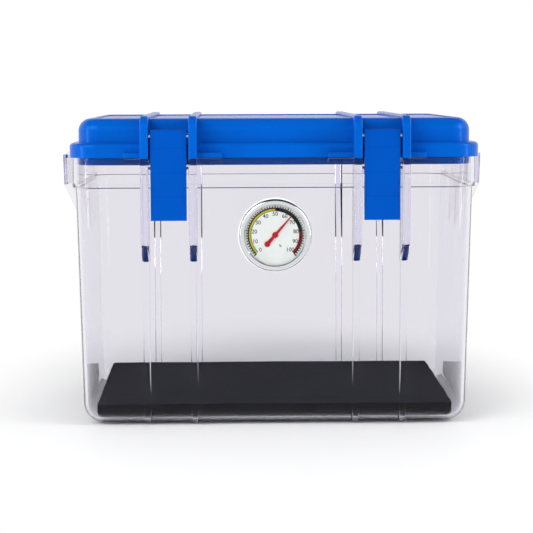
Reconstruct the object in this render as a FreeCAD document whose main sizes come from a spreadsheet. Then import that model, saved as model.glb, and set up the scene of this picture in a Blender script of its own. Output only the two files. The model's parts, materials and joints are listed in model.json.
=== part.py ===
import FreeCAD, Part
import math
import os
import types

import Sketcher
from FreeCAD import Placement, Rotation, Vector

# Clear storage box with a hinged blue lid, two snap latches, a dial hygrometer and a desiccant tray.
# Millimetres. X runs along the box, Y to the hinges, Z up. The origin is under the middle of the box.

DIMENSIONS = {
    # Clear tub
    "tub_width": 299.6,
    "tub_depth": 208.6,
    "tub_height": 203.0,
    "tub_wall": 3.0,
    "tub_floor": 3.0,
    "tub_draft": 1.42,
    "tub_corner": 15.0,
    "tub_bottom_round": 15.0,
    "collar_height": 22.4,
    "collar_step": 2.0,
    "collar_edge_round": 0.9,
    "tongue_height": 1.2,
    "tongue_thickness": 1.4,
    # Ribs and fins, which come in pairs beside each latch and each hinge
    "pair_centre": 78.5,
    "pair_spacing": 35.6,
    "rib_width": 5.2,
    "rib_height": 2.5,
    "runner_height": 1.5,
    "rib_edge_round": 1.0,
    "fin_width": 6.2,
    "fin_depth": 17.7,
    "fin_straight_drop": 63.2,
    "front_fin_taper": 14.0,
    "rear_fin_taper": 44.0,
    "fin_bend_round": 8.0,
    "fin_edge_round": 2.2,
    # Bars at the front of the rim
    "foot_bar_out": 7.7,
    "foot_bar_inner_length": 21.5,
    "foot_bar_outer_length": 15.5,
    "tub_bar_height": 3.4,
    "lid_bar_height": 4.1,
    "bar_edge_round": 1.0,
    # Side grips
    "grip_depth": 13.0,
    "grip_length": 50.0,
    "grip_plate": 2.6,
    "grip_lip_height": 23.5,
    "grip_lip_lean": 0.8,
    "grip_gusset_drop": 56.5,
    "grip_corner": 1.5,
    # Lid
    "lid_overhang": 1.7,
    "lid_gap": 0.3,
    "lid_wall": 2.5,
    "lid_corner": 20.5,
    "lid_flange_height": 10.9,
    "lid_flange_round": 3.0,
    "dome_inset": 6.65,
    "dome_corner": 15.0,
    "dome_round": 9.5,
    "lid_height": 29.1,
    "panel_border": 12.0,
    "panel_corner": 8.0,
    "panel_depth": 0.8,
    "lid_rib_height": 2.1,
    "lid_rib_arch": 10.0,
    "lid_rib_edge_round": 1.3,
    "lid_rib_setback": 3.5,
    "skirt_drop": 5.6,
    "skirt_gap": 1.5,
    "skirt_thickness": 2.0,
    "skirt_edge_round": 0.6,
    # Seal
    "groove_clearance": 1.0,
    "groove_depth": 5.0,
    "seal_gap": 0.3,
    # Hinges
    "hinge_out": 11.7,
    "hinge_drop": 6.0,
    "hinge_boss": 6.0,
    "hinge_pin_radius": 2.0,
    "hinge_side_gap": 0.4,
    "arm_shoulder": 2.0,
    "running_clearance": 0.05,
    "pin_seat": 4.2,
    # Latches
    "latch_width": 26.4,
    "latch_length": 66.6,
    "latch_top_drop": 8.1,
    "latch_setback": 1.6,
    "latch_plate": 2.6,
    "latch_first_facet": 13.5,
    "latch_facet": 17.85,
    "latch_lean": 1.3,
    "latch_step": 0.3,
    "latch_chamfer": 0.8,
    "latch_pivot_setback": 8.0,
    "latch_pivot_drop": 4.5,
    "latch_pin_radius": 1.5,
    "catch_bar_radius": 2.0,
    "catch_bar_setback": 7.0,
    "catch_bar_drop": 5.9,
    "catch_clearance": 0.3,
    "claw_thickness": 3.2,
    "claw_depth": 7.6,
    # Foam pad
    "pad_side_gap": 6.98,
    "pad_thickness": 14.5,
    "pad_gap": 0.3,
    "pad_round": 5.5,
    # Hygrometer
    "gauge_drop": 35.0,
    "gauge_barrel": 21.8,
    "gauge_hole_clearance": 0.5,
    "gauge_barrel_length": 16.0,
    "gauge_wall": 1.2,
    "gasket_radius": 27.9,
    "gasket_thickness": 1.0,
    "gauge_flange": 25.0,
    "gauge_shelf": 0.7,
    "dial_radius": 23.4,
    "dial_thickness": 0.4,
    "lens_height": 1.7,
    "lens_thickness": 1.0,
    "bezel_back_radius": 27.0,
    "bezel_front_radius": 25.0,
    "bezel_window": 22.9,
    "bezel_lip": 0.9,
    "nut_radius": 27.0,
    "nut_thickness": 2.6,
    "nut_notch": 1.6,
    "arbor_radius": 0.8,
    "needle_tip": 18.0,
    "needle_tail": 9.4,
    "needle_bulb": 1.9,
    "needle_hub": 2.1,
    "needle_neck": 1.4,
    "needle_point": 0.26,
    "needle_tail_width": 1.26,
    "needle_thickness": 0.4,
    "needle_lift": 0.5,
    "needle_reading_angle": 40.7,
    "bridge_width": 9.0,
    "bridge_thickness": 1.0,
    "coil_gap": 0.8,
    "coil_pitch": 1.5,
    "coil_strip": 0.4,
    "coil_width": 4.5,
    "vent_radius": 1.6,
    "vent_circle": 13.0,
    # Desiccant tray in the lid
    "tray_length": 127.0,
    "tray_depth": 87.0,
    "tray_wall": 3.5,
    "tray_height": 16.0,
    "cover_thickness": 2.0,
    "cover_gap": 0.2,
    "cover_tongue": 1.8,
    "cover_hole_radius": 2.4,
    "cover_end_border": 10.5,
    "cover_side_border": 13.0,
    "ridge_length": 53.4,
    "screw_radius": 1.4,
    "screw_head_radius": 2.8,
    "screw_head_height": 1.8,
    "screw_length": 8.0,
    "screw_inset": 21.2,
    "boss_radius": 3.6,
    "boss_drop": 8.0,
    "boss_gap": 1.0,
    "tab_thickness": 2.5,
    "pack_gap": 0.3,
    "pack_end_gap": 3.0,
    "pack_side_gap": 2.5,
    "pack_top_gap": 1.5,
}

# Copies of one form that lie beside each other
SIDES = (-1, 1)
COIL_HALF_TURNS = 9
VENTS = 8
NUT_NOTCHES = 18
COVER_ROWS = 7
COVER_COLUMNS = 12

# How far a cut runs past the face it starts from, and how near two places count as the same
OVERCUT = 1.0
NEAR = 0.01

doc = FreeCAD.newDocument("DryBox")
sheet = doc.addObject("Spreadsheet::Sheet", "Sizes")


class Size:
    """A number of the model with the expression that ties it to the sheet."""

    def __init__(self, number, text):
        self.number = float(number)
        self.text = text

    def __add__(self, other):
        other = plain(other)
        return Size(self.number + other.number, f"({self.text} + {other.text})")

    def __sub__(self, other):
        other = plain(other)
        return Size(self.number - other.number, f"({self.text} - {other.text})")

    def __mul__(self, other):
        other = plain(other)
        return Size(self.number * other.number, f"({self.text} * {other.text})")

    def __truediv__(self, other):
        other = plain(other)
        return Size(self.number / other.number, f"({self.text} / {other.text})")

    def __radd__(self, other):
        return plain(other) + self

    def __rsub__(self, other):
        return plain(other) - self

    def __rmul__(self, other):
        return plain(other) * self

    def __neg__(self):
        return plain(0) - self


def plain(value):
    """A bare number as a size."""
    if isinstance(value, Size):
        return value
    return Size(value, f"({value})")


def sine(angle):
    return Size(math.sin(math.radians(angle.number)), f"sin({angle.text} * 1 deg)")


def cosine(angle):
    return Size(math.cos(math.radians(angle.number)), f"cos({angle.text} * 1 deg)")


def tangent(angle):
    return Size(math.tan(math.radians(angle.number)), f"tan({angle.text} * 1 deg)")


def fill_sheet():
    """Write each driving size into its own cell and give it back by name."""
    sizes = {}
    for row, (name, number) in enumerate(DIMENSIONS.items(), start=1):
        sheet.set(f"A{row}", name)
        sheet.set(f"B{row}", str(number))
        sheet.setAlias(f"B{row}", name)
        sizes[name] = Size(number, f"Sizes.{name}")
    doc.recompute()
    return types.SimpleNamespace(**sizes)


S = fill_sheet()
ZERO = plain(0)


# Places that more than one piece shares
rim = S.tub_height
collar_low = rim - S.collar_height
wall_half_x = S.tub_width / 2
wall_half_y = S.tub_depth / 2
collar_half_x = wall_half_x + S.collar_step
collar_half_y = wall_half_y + S.collar_step
foot_spread = (collar_low - S.runner_height) * tangent(S.tub_draft)
foot_half_x = wall_half_x - foot_spread
foot_half_y = wall_half_y - foot_spread
collar_corner = S.tub_corner + foot_spread + S.collar_step
floor_top = S.runner_height + S.tub_floor

lid_low = rim + S.lid_gap
lid_half_x = collar_half_x + S.lid_overhang
lid_half_y = collar_half_y + S.lid_overhang
flange_top = lid_low + S.lid_flange_height
dome_half_x = lid_half_x - S.dome_inset
dome_half_y = lid_half_y - S.dome_inset
dome_top = lid_low + S.lid_height
roof = dome_top - S.lid_wall
lid_rib_top = dome_top + S.lid_rib_height

tongue_out = (S.tub_wall - S.tongue_thickness) / 2
groove_floor = lid_low + S.groove_depth

fin_reach = collar_half_y + S.fin_depth
fin_straight_end = rim - S.fin_straight_drop
fin_taper_end = fin_straight_end - S.front_fin_taper
hinge_y = collar_half_y + S.hinge_out
hinge_z = rim - S.hinge_drop
pivot_y = S.latch_pivot_setback - fin_reach
latch_top = dome_top - S.latch_top_drop
pivot_z = latch_top - S.latch_pivot_drop
catch_y = S.catch_bar_setback - fin_reach
catch_z = rim - S.catch_bar_drop
gauge_z = collar_low - S.gauge_drop

rib_offsets = [sign * S.pair_spacing / 2 for sign in SIDES]
pair_centres = [side * S.pair_centre for side in SIDES]
rib_centres = [centre + offset for centre in pair_centres for offset in rib_offsets]


def wall_reach(half, height):
    """How far the drafted outer wall stands from the middle at a height."""
    return half - (collar_low - height) * tangent(S.tub_draft)


# Drawing helpers

def new_body(label):
    body = doc.addObject("PartDesign::Body", label)
    body.Label = label
    return body


def origin_plane(body, role):
    for feature in body.Origin.OriginFeatures:
        if feature.Role == role:
            return feature
    raise ValueError(role)


def new_sketch(body, name, role, offset=ZERO):
    """A sketch parallel to one of the body's origin planes."""
    sketch = body.newObject("Sketcher::SketchObject", name)
    sketch.AttachmentSupport = [(origin_plane(body, role), "")]
    sketch.MapMode = "FlatFace"
    sketch.AttachmentOffset = Placement(Vector(0, 0, offset.number), Rotation())
    sketch.setExpression("AttachmentOffset.Base.z", offset.text)
    return sketch


def bind(sketch, kind, *references):
    """Add a dimension whose last reference is a size."""
    size = references[-1]
    index = sketch.addConstraint(Sketcher.Constraint(kind, *references[:-1], size.number))
    sketch.setExpression(f"Constraints[{index}]", size.text)


def arc_between(start, end, radius):
    """The short arc from start to end; a positive radius turns left, a negative one right."""
    chord = end - start
    half = chord.Length / 2
    left = Vector(-chord.y, chord.x, 0).normalize()
    rise = math.sqrt(max(radius * radius - half * half, 0.0))
    centre = (start + end) / 2 + left * math.copysign(rise, radius)
    first, last = (start, end) if radius > 0 else (end, start)
    first_angle = math.atan2(first.y - centre.y, first.x - centre.x)
    last_angle = math.atan2(last.y - centre.y, last.x - centre.x)
    if last_angle < first_angle:
        last_angle += 2 * math.pi
    circle = Part.Circle(centre, Vector(0, 0, 1), abs(radius))
    return Part.ArcOfCircle(circle, first_angle, last_angle)


def add_outline(sketch, points):
    """A closed chain; a point is (u, v), or (u, v, radius) where an arc comes in to it."""
    corners = [(plain(point[0]), plain(point[1])) for point in points]
    places = [Vector(u.number, v.number, 0) for u, v in corners]
    ends = []
    for index, point in enumerate(points):
        start = places[index - 1]
        end = places[index]
        if len(point) == 2:
            geometry = sketch.addGeometry(Part.LineSegment(start, end), False)
            ends.append((geometry, 1, 2))
            continue
        radius = plain(point[2])
        geometry = sketch.addGeometry(arc_between(start, end, radius.number), False)
        bind(sketch, "Radius", geometry, radius if radius.number > 0 else -radius)
        ends.append((geometry, 1, 2) if radius.number > 0 else (geometry, 2, 1))
    for index, (u, v) in enumerate(corners):
        geometry, first, last = ends[index]
        following, following_first, following_last = ends[(index + 1) % len(ends)]
        sketch.addConstraint(Sketcher.Constraint("Coincident", geometry, last, following, following_first))
        bind(sketch, "DistanceX", -1, 1, geometry, last, u)
        bind(sketch, "DistanceY", -1, 1, geometry, last, v)


def add_rounded_rectangle(sketch, half_u, half_v, corner):
    add_outline(sketch, [
        (half_u - corner, -half_v),
        (half_u, corner - half_v, corner),
        (half_u, half_v - corner),
        (half_u - corner, half_v, corner),
        (corner - half_u, half_v),
        (-half_u, half_v - corner, corner),
        (-half_u, corner - half_v),
        (corner - half_u, -half_v, corner),
    ])


def add_circle(sketch, u, v, radius):
    u = plain(u)
    v = plain(v)
    circle = Part.Circle(Vector(u.number, v.number, 0), Vector(0, 0, 1), radius.number)
    geometry = sketch.addGeometry(circle, False)
    bind(sketch, "DistanceX", -1, 1, geometry, 3, u)
    bind(sketch, "DistanceY", -1, 1, geometry, 3, v)
    bind(sketch, "Radius", geometry, radius)


def pad(body, name, sketch, length, taper=None, both_ways=False):
    feature = body.newObject("PartDesign::Pad", name)
    feature.Profile = sketch
    feature.Length = length.number
    feature.setExpression("Length", length.text)
    if both_ways:
        feature.SideType = "Symmetric"
    if taper is not None:
        feature.TaperAngle = taper.number
        feature.setExpression("TaperAngle", f"{taper.text} * 1 deg")
    body.Tip = feature
    return feature


def pocket(body, name, sketch, length, upward=False, both_ways=False):
    """A cut against the sketch's normal, or along it when upward."""
    doc.recompute()
    before = body.Shape.Volume
    feature = body.newObject("PartDesign::Pocket", name)
    feature.Profile = sketch
    feature.Length = length.number
    feature.setExpression("Length", length.text)
    feature.Reversed = upward
    if both_ways:
        feature.SideType = "Symmetric"
    body.Tip = feature
    doc.recompute()
    if body.Shape.Volume >= before:
        raise RuntimeError(f"{name} cuts nothing")
    return feature


def round_edges(body, name, radius, wanted):
    """Round the edges of the body's last feature that the test picks out."""
    doc.recompute()
    base = body.Tip
    picked = []
    for number, edge in enumerate(base.Shape.Edges, start=1):
        middle = edge.valueAt((edge.FirstParameter + edge.LastParameter) / 2)
        if wanted(edge, middle):
            picked.append(f"Edge{number}")
    feature = body.newObject("PartDesign::Fillet", name)
    feature.Base = (base, picked)
    feature.Radius = radius.number
    feature.setExpression("Radius", radius.text)
    body.Tip = feature
    return feature


def at_height(height):
    """The edges that lie level at a height."""
    def wanted(edge, middle):
        return all(abs(vertex.Z - height.number) < NEAR for vertex in edge.Vertexes) and \
            abs(middle.z - height.number) < NEAR
    return wanted


def runs_across(edge):
    """Whether an edge leads from one side of the box towards the other."""
    return abs(edge.Vertexes[0].X - edge.Vertexes[-1].X) > NEAR


def rounded_block(body, name, half_x, half_y, corner, low, high, taper=None):
    sketch = new_sketch(body, f"{name}_outline", "XY_Plane", low)
    add_rounded_rectangle(sketch, half_x, half_y, corner)
    return pad(body, name, sketch, high - low, taper)


def ring_block(body, name, outside, inside, low, high):
    """A wall that runs round between two rounded rectangles, each given as half sizes and a corner."""
    sketch = new_sketch(body, f"{name}_outline", "XY_Plane", low)
    add_rounded_rectangle(sketch, *outside)
    add_rounded_rectangle(sketch, *inside)
    return pad(body, name, sketch, high - low)


def side_plate(body, name, points, centre_x, width):
    """A plate drawn in the YZ plane and grown both ways from its own middle."""
    sketch = new_sketch(body, f"{name}_outline", "YZ_Plane", plain(centre_x))
    add_outline(sketch, points)
    return pad(body, name, sketch, width, both_ways=True)


def turned(body, name, points):
    """A ring or shaft turned about the body's own Z axis; points are (radius, height)."""
    sketch = new_sketch(body, f"{name}_outline", "XZ_Plane")
    add_outline(sketch, points)
    feature = body.newObject("PartDesign::Revolution", name)
    feature.Profile = sketch
    feature.ReferenceAxis = (sketch, ["V_Axis"])
    feature.Angle = 360
    body.Tip = feature
    return feature


def place(piece, **sizes):
    """Tie the piece's place along each named axis."""
    for axis, size in sizes.items():
        size = plain(size)
        setattr(piece.Placement.Base, axis, size.number)
        piece.setExpression(f"Placement.Base.{axis}", size.text)


def rod_along_x(label, radius, low_x, length, y, z):
    rod = doc.addObject("Part::Cylinder", label)
    rod.Label = label
    rod.Radius = radius.number
    rod.setExpression("Radius", radius.text)
    rod.Height = length.number
    rod.setExpression("Height", length.text)
    rod.Placement = Placement(Vector(), Rotation(Vector(0, 1, 0), 90))
    place(rod, x=low_x, y=y, z=z)
    return rod


def upright_rod(label, radius, low, length, x, y):
    rod = doc.addObject("Part::Cylinder", label)
    rod.Label = label
    rod.Radius = radius.number
    rod.setExpression("Radius", radius.text)
    rod.Height = length.number
    rod.setExpression("Height", length.text)
    place(rod, x=x, y=y, z=low)
    return rod


def plain_box(label, low_x, low_y, low_z, length, width, height):
    box = doc.addObject("Part::Box", label)
    box.Label = label
    for name, size in (("Length", length), ("Width", width), ("Height", height)):
        size = plain(size)
        setattr(box, name, size.number)
        box.setExpression(name, size.text)
    place(box, x=low_x, y=low_y, z=low_z)
    return box


def fuse(label, pieces):
    joined = doc.addObject("Part::MultiFuse", label)
    joined.Label = label
    joined.Shapes = pieces
    joined.Refine = True
    return joined


def cut(label, base, tool):
    result = doc.addObject("Part::Cut", label)
    result.Label = label
    result.Base = base
    result.Tool = tool
    result.Refine = True
    return result


# Clear tub

def tub_outside():
    """The drafted wall with its round bottom edge."""
    body = new_body("tub_outside")
    rounded_block(body, "wall_block", foot_half_x, foot_half_y, S.tub_corner,
                  S.runner_height, collar_low, S.tub_draft)
    round_edges(body, "bottom_edge", S.tub_bottom_round, at_height(S.runner_height))
    return body


def tub_collar():
    """The straight collar that stands out above the wall, with the tongue that the seal lies on."""
    body = new_body("tub_collar")
    rounded_block(body, "collar", collar_half_x, collar_half_y, collar_corner, collar_low, rim)
    round_edges(body, "collar_edge", S.collar_edge_round, at_height(collar_low))
    outside = (collar_half_x - tongue_out, collar_half_y - tongue_out, collar_corner - tongue_out)
    inset = tongue_out + S.tongue_thickness
    inside = (collar_half_x - inset, collar_half_y - inset, collar_corner - inset)
    ring_block(body, "rim_tongue", outside, inside, rim, rim + S.tongue_height)
    return body


def tub_ribs():
    """Hoops that run down the front, under the floor and up the back, with rounded edges."""
    body = new_body("tub_ribs")
    edge = S.tub_bottom_round + S.rib_height
    foot = wall_reach(wall_half_y, ZERO) + S.rib_height
    turn = edge * tangent((90 - S.tub_draft) / 2)
    side_y = foot + turn * sine(S.tub_draft)
    side_z = turn * cosine(S.tub_draft)
    top_y = wall_half_y + S.rib_height
    for number, centre in enumerate(rib_centres, start=1):
        side_plate(body, f"hoop_{number}", [
            (-top_y, collar_low),
            (-side_y, side_z),
            (turn - foot, ZERO, edge),
            (foot - turn, ZERO),
            (side_y, side_z, edge),
            (top_y, collar_low),
        ], centre, S.rib_width)

    def outer_edge(edge, middle):
        return not runs_across(edge) and middle.z < collar_low.number - NEAR
    round_edges(body, "rib_edges", S.rib_edge_round, outer_edge)
    return body


def tub_fins():
    """Deep fins beside each latch at the front and each hinge at the back, with rounded edges.

    The front fins bend softly where they start to run in to the ribs.
    """
    body = new_body("tub_fins")
    shallow = wall_reach(wall_half_y, fin_taper_end) + S.rib_height
    root = wall_half_y - S.tub_bottom_round
    rear_reach = hinge_y + S.hinge_boss
    for number, centre in enumerate(rib_centres, start=1):
        side_plate(body, f"front_fin_{number}", [
            (-root, rim),
            (-fin_reach, rim),
            (-fin_reach, fin_straight_end),
            (-shallow, fin_taper_end),
            (-root, fin_taper_end),
        ], centre, S.fin_width)
        side_plate(body, f"rear_fin_{number}", [
            (root, fin_taper_end),
            (shallow, fin_taper_end),
            (rear_reach, fin_taper_end + S.rear_fin_taper),
            (rear_reach, hinge_z),
            (hinge_y, hinge_z + S.hinge_boss, S.hinge_boss),
            (root, hinge_z + S.hinge_boss),
        ], centre, S.fin_width)

    def front_bend(edge, middle):
        return middle.y < 0 and at_height(fin_straight_end)(edge, middle)

    def outer_edge(edge, middle):
        level = abs(edge.Vertexes[0].Z - edge.Vertexes[-1].Z) < NEAR
        return not runs_across(edge) and not level and abs(middle.y) > root.number + NEAR
    round_edges(body, "fin_bends", S.fin_bend_round, front_bend)
    round_edges(body, "fin_edges", S.fin_edge_round, outer_edge)
    return body


def foot_bars(label, low, height):
    """Short bars with rounded edges that stand out beside the fins along the front edge."""
    inner_reach = S.pair_spacing / 2
    back = collar_half_y - S.tub_wall / 2
    reach = collar_half_y + S.foot_bar_out
    bars = []

    def at_front(edge, middle):
        return all(abs(vertex.Y + reach.number) < NEAR for vertex in edge.Vertexes)
    for side, centre in zip(SIDES, pair_centres):
        for name, sign, length in (("inner", -side, S.foot_bar_inner_length),
                                   ("outer", side, S.foot_bar_outer_length)):
            whole = length + S.fin_width / 2
            middle_x = centre + sign * (inner_reach + length - whole / 2)
            bar = new_body(f"{label}_{name}_{'left' if side < 0 else 'right'}")
            side_plate(bar, f"{bar.Label}_block", [
                (-reach, low),
                (-back, low),
                (-back, low + height),
                (-reach, low + height),
            ], middle_x, whole)
            round_edges(bar, f"{bar.Label}_edges", S.bar_edge_round, at_front)
            bars.append(bar)
    return bars


def side_grip(side):
    """A ledge for the fingertips: a web level with the rim, a hanging lip and a gusset at each end."""
    name = "left" if side < 0 else "right"
    gusset_end = rim - S.grip_gusset_drop
    root = wall_reach(wall_half_x, gusset_end)
    reach = collar_half_x + S.grip_depth
    lip_low = rim - S.grip_lip_height
    body = new_body(f"grip_{name}")
    sketch = new_sketch(body, f"grip_{name}_outline", "XZ_Plane")
    inner = root - S.tub_wall / 2
    points = [
        (side * inner, rim),
        (side * reach, rim),
        (side * (reach - S.grip_lip_lean), lip_low),
        (side * root, gusset_end),
        (side * inner, gusset_end),
    ]
    add_outline(sketch, points)
    pad(body, f"grip_{name}_block", sketch, S.grip_length, both_ways=True)

    def outer_corner(edge, middle):
        runs_along = abs(edge.Vertexes[0].Y - edge.Vertexes[-1].Y) > NEAR
        return not runs_along and abs(middle.x) > inner.number + NEAR \
            and lip_low.number < middle.z < rim.number - NEAR
    round_edges(body, f"grip_{name}_corners", S.grip_corner, outer_corner)
    hollow = new_sketch(body, f"grip_{name}_hollow_outline", "XZ_Plane")
    add_outline(hollow, [
        (side * (inner - OVERCUT), rim - S.grip_plate),
        (side * (reach - S.grip_plate), rim - S.grip_plate),
        (side * (reach - S.grip_plate - S.grip_lip_lean), lip_low),
        (side * (reach + OVERCUT), lip_low),
        (side * (reach + OVERCUT), gusset_end - OVERCUT),
        (side * (inner - OVERCUT), gusset_end - OVERCUT),
    ])
    pocket(body, f"grip_{name}_hollow", hollow, S.grip_length - 2 * S.grip_plate, both_ways=True)
    return body


def tub_cavity():
    """The space inside: drafted like the wall, with a round bottom edge, and wider at the collar."""
    body = new_body("tub_cavity")
    half_x = wall_reach(wall_half_x, floor_top) - S.tub_wall
    half_y = wall_reach(wall_half_y, floor_top) - S.tub_wall
    rounded_block(body, "lower_space", half_x, half_y, S.tub_corner - S.tub_wall,
                  floor_top, collar_low + S.tub_wall, S.tub_draft)
    round_edges(body, "space_edge", S.tub_bottom_round - S.tub_wall, at_height(floor_top))
    rounded_block(body, "upper_space", collar_half_x - S.tub_wall, collar_half_y - S.tub_wall,
                  collar_corner - S.tub_wall, collar_low + S.tub_wall, rim + S.tongue_height + OVERCUT)
    return body


def gauge_opening():
    """The round hole in the front wall that the hygrometer's barrel goes through."""
    body = new_body("gauge_opening")
    reach = wall_reach(wall_half_y, gauge_z)
    sketch = new_sketch(body, "gauge_opening_outline", "XZ_Plane", reach)
    add_circle(sketch, ZERO, gauge_z, S.gauge_barrel + S.gauge_hole_clearance)
    pad(body, "gauge_opening_depth", sketch, 2 * (S.tub_wall + 2 * OVERCUT), both_ways=True)
    return body


def between_fins(label, radius, seat, y, z):
    """One rod for each pair of fins, let into them by the seat's depth."""
    length = S.pair_spacing - S.fin_width + 2 * seat
    names = ("left", "right")
    return [rod_along_x(f"{label}_{name}", radius, centre - length / 2, length, y, z)
            for name, centre in zip(names, pair_centres)]


def make_tub():
    solids = [tub_outside(), tub_collar(), tub_ribs(), tub_fins()]
    solids += [side_grip(side) for side in SIDES]
    solids += foot_bars("tub_bar", rim - S.tub_bar_height, S.tub_bar_height)
    solids += between_fins("catch_bar", S.catch_bar_radius, S.fin_width / 2, catch_y, catch_z)
    bores = between_fins("hinge_seat", S.hinge_pin_radius, S.pin_seat, hinge_y, hinge_z)
    space = fuse("tub_space", [tub_cavity(), gauge_opening()] + bores)
    return cut("tub", fuse("tub_solid", solids), space)


def make_foam_pad():
    body = new_body("foam_pad")
    low = floor_top + S.pad_gap
    inset = S.tub_wall + S.pad_side_gap
    half_x = wall_reach(wall_half_x, floor_top) - inset
    half_y = wall_reach(wall_half_y, floor_top) - inset
    rounded_block(body, "pad_block", half_x, half_y, S.tub_corner - S.tub_wall, low, low + S.pad_thickness)
    round_edges(body, "pad_lower_edge", S.pad_round, at_height(low))
    return body


# Lid

def lid_outside():
    body = new_body("lid_outside")
    rounded_block(body, "flange", lid_half_x, lid_half_y, S.lid_corner, lid_low, flange_top)
    round_edges(body, "flange_edge", S.lid_flange_round, at_height(flange_top))
    return body


def lid_dome():
    """The raised middle of the lid, with a shallow panel sunk in its top."""
    body = new_body("lid_dome")
    rounded_block(body, "dome", dome_half_x, dome_half_y, S.dome_corner, lid_low, dome_top)
    round_edges(body, "dome_edge", S.dome_round, at_height(dome_top))
    panel = new_sketch(body, "panel_outline", "XY_Plane", dome_top)
    add_rounded_rectangle(panel, dome_half_x - S.panel_border, dome_half_y - S.panel_border, S.panel_corner)
    pocket(body, "panel", panel, S.panel_depth)
    return body


def lid_ribs():
    """Hoops that stand out in front beside each latch and run back over the top of the lid."""
    body = new_body("lid_ribs")
    arch = S.lid_rib_arch
    rear = lid_half_y - S.lid_rib_setback
    for number, centre in enumerate(rib_centres, start=1):
        side_plate(body, f"lid_rib_{number}", [
            (-fin_reach, lid_low),
            (rear, lid_low),
            (rear, lid_rib_top - arch),
            (rear - arch, lid_rib_top, arch),
            (arch - fin_reach, lid_rib_top),
            (-fin_reach, lid_rib_top - arch, arch),
        ], centre, S.fin_width)

    def outer_edge(edge, middle):
        return not runs_across(edge) and middle.z > lid_low.number + NEAR
    round_edges(body, "lid_rib_edges", S.lid_rib_edge_round, outer_edge)
    return body


def lid_skirt():
    """A ring that hangs from the lid inside the tub's collar, so that the lid closes in its place."""
    body = new_body("lid_skirt")
    out = S.tub_wall + S.skirt_gap
    inset = out + S.skirt_thickness
    low = lid_low - S.skirt_drop
    outside = (collar_half_x - out, collar_half_y - out, collar_corner - out)
    inside = (collar_half_x - inset, collar_half_y - inset, collar_corner - inset)
    ring_block(body, "skirt", outside, inside, low, groove_floor)
    round_edges(body, "skirt_edges", S.skirt_edge_round, at_height(low))
    return body


def hinge_arms():
    """Curved arms that reach from the flange down to the hinge pins, between the tub's fins."""
    body = new_body("hinge_arms")
    boss = S.hinge_boss
    root = lid_half_y - S.lid_flange_round - OVERCUT
    top = flange_top - S.lid_flange_round / 2
    shoulder = hinge_y + boss
    sweep = top - hinge_z - boss / 2
    width = S.pair_spacing - S.fin_width - 2 * S.hinge_side_gap
    for number, centre in enumerate(pair_centres, start=1):
        side_plate(body, f"arm_{number}", [
            (root, lid_low + S.lid_gap),
            (lid_half_y + S.arm_shoulder, lid_low + S.lid_gap),
            (hinge_y - boss, hinge_z),
            (hinge_y, hinge_z - boss, boss),
            (shoulder, hinge_z, boss),
            (shoulder, top - sweep),
            (shoulder - sweep, top, sweep),
            (root, top),
        ], centre, width)
    return body


def screw_places():
    """Middles of the four tray screws."""
    along = S.tray_length / 2 - S.screw_inset
    across = S.tray_depth / 2 + S.boss_radius + S.boss_gap
    return [(side_x * along, side_y * across) for side_x in SIDES for side_y in SIDES]


def screw_bosses():
    low = roof - S.boss_drop
    return [upright_rod(f"boss_{number}", S.boss_radius, low, S.boss_drop + S.lid_wall / 2, x, y)
            for number, (x, y) in enumerate(screw_places(), start=1)]


def screw_seats():
    low = roof - S.boss_drop
    depth = S.screw_length - S.tab_thickness
    return [upright_rod(f"screw_seat_{number}", S.screw_radius, low, depth, x, y)
            for number, (x, y) in enumerate(screw_places(), start=1)]


def lid_space():
    """The hollow under the dome."""
    body = new_body("lid_space")
    rounded_block(body, "hollow", dome_half_x - S.lid_wall, dome_half_y - S.lid_wall,
                  S.dome_corner - S.lid_wall, rim - S.lid_wall, roof)
    round_edges(body, "hollow_edge", S.dome_round - S.lid_wall, at_height(roof))
    return body


def groove_sides(clearance):
    """The rounded rectangles outside and inside the rim's tongue, a clearance away from it."""
    out = tongue_out - clearance
    inset = tongue_out + S.tongue_thickness + clearance
    outside = (collar_half_x - out, collar_half_y - out, collar_corner - out)
    inside = (collar_half_x - inset, collar_half_y - inset, collar_corner - inset)
    return outside, inside


def seal_groove():
    body = new_body("seal_groove")
    outside, inside = groove_sides(S.groove_clearance)
    ring_block(body, "groove", outside, inside, rim - S.lid_wall, groove_floor)
    return body


def make_lid_shell():
    solids = [lid_outside(), lid_dome(), lid_ribs(), lid_skirt(), hinge_arms()]
    solids += foot_bars("lid_bar", lid_low, S.lid_bar_height)
    hollowed = cut("lid_hollowed", fuse("lid_solid", solids), lid_space())
    bossed = fuse("lid_with_bosses", [hollowed] + screw_bosses())
    hinge_bore = S.hinge_pin_radius + S.running_clearance
    tools = between_fins("arm_bore", hinge_bore, ZERO, hinge_y, hinge_z)
    tools += between_fins("pivot_seat", S.latch_pin_radius, S.pin_seat, pivot_y, pivot_z)
    tools += screw_seats()
    return cut("lid_shell", bossed, fuse("lid_tools", [seal_groove()] + tools))


def make_lid_seal():
    body = new_body("lid_seal")
    outside, inside = groove_sides(S.groove_clearance)
    ring_block(body, "seal", outside, inside, rim + S.tongue_height + S.seal_gap, groove_floor)
    return body


# Latches

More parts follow.
